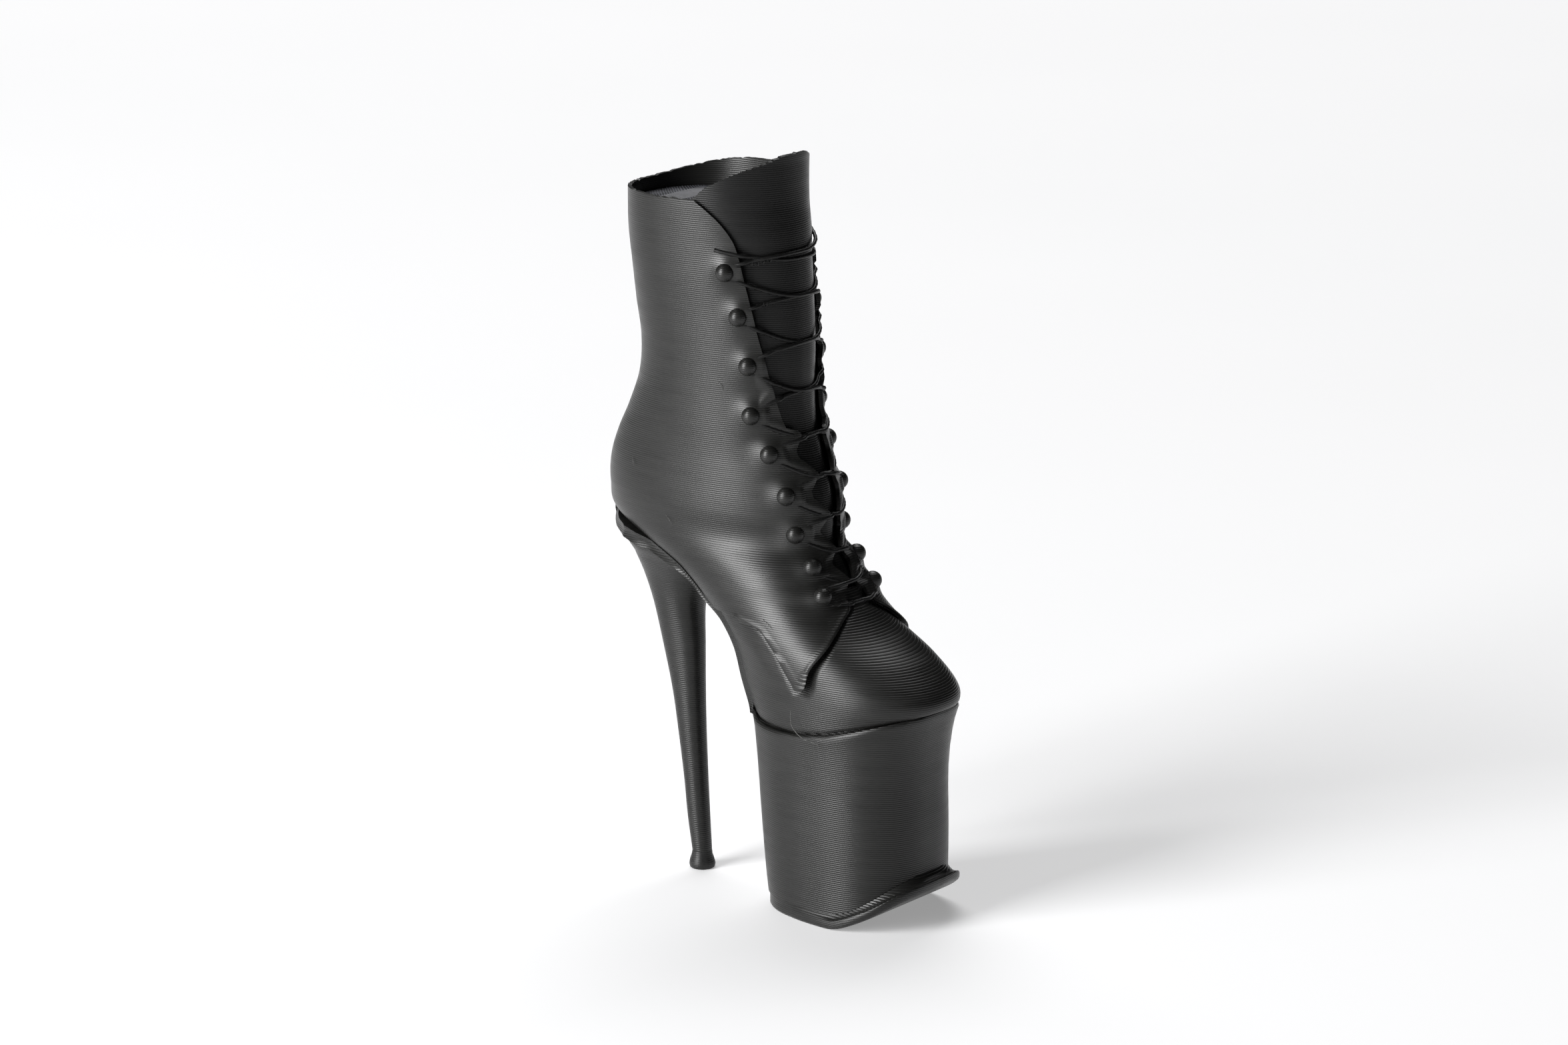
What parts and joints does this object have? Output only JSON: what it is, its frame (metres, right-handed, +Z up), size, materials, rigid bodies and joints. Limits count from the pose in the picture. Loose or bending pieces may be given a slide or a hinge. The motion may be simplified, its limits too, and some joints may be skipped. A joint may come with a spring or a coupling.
{
  "type": "miniature platform boot",
  "caption": "Black 3D-printed miniature of a lace-up ankle boot with a tall platform sole and a thin high heel.",
  "frame": {"origin": "on the ground under the middle of the bounding box of the whole boot", "axes": "+Z up the shaft, -Y toward the toe, +X toward the outer side; the inner side, -X, is the side seen in the picture"},
  "size_m": [0.0176, 0.0443, 0.081],
  "materials": {
    "outsole": "satin black print with a rough lower edge",
    "platform": "satin black print with fine level layer ridges",
    "sole_board": "satin black print, darker in the seam",
    "heel_stem": "satin black print with fine level layer ridges",
    "heel_tip": "satin black print, slightly melted at the foot",
    "core": "grey-black flat fill with zigzag beads",
    "vamp": "satin black print with contour terraces",
    "tongue": "satin black print, darker than the quarters",
    "quarter": "satin black print with a broad soft highlight",
    "lace": "thin rough printed strands",
    "hook": "satin black printed domes with ring ridges"
  },
  "bodies": {
    "root": {"outsole": "outsole", "platform": "platform", "sole_board": "sole_board", "heel_stem": "heel_stem", "heel_tip": "heel_tip", "core": "core", "vamp": "vamp", "tongue": "tongue", "quarter_inner": "quarter", "quarter_outer": "quarter", "lace": "lace", "hook_inner_1": "hook", "hook_inner_2": "hook", "hook_inner_3": "hook", "hook_inner_4": "hook", "hook_inner_5": "hook", "hook_inner_6": "hook", "hook_inner_7": "hook", "hook_inner_8": "hook", "hook_inner_9": "hook", "hook_outer_1": "hook", "hook_outer_2": "hook", "hook_outer_3": "hook", "hook_outer_4": "hook", "hook_outer_5": "hook", "hook_outer_6": "hook", "hook_outer_7": "hook", "hook_outer_8": "hook", "hook_outer_9": "hook"}
  },
  "joints": []
}
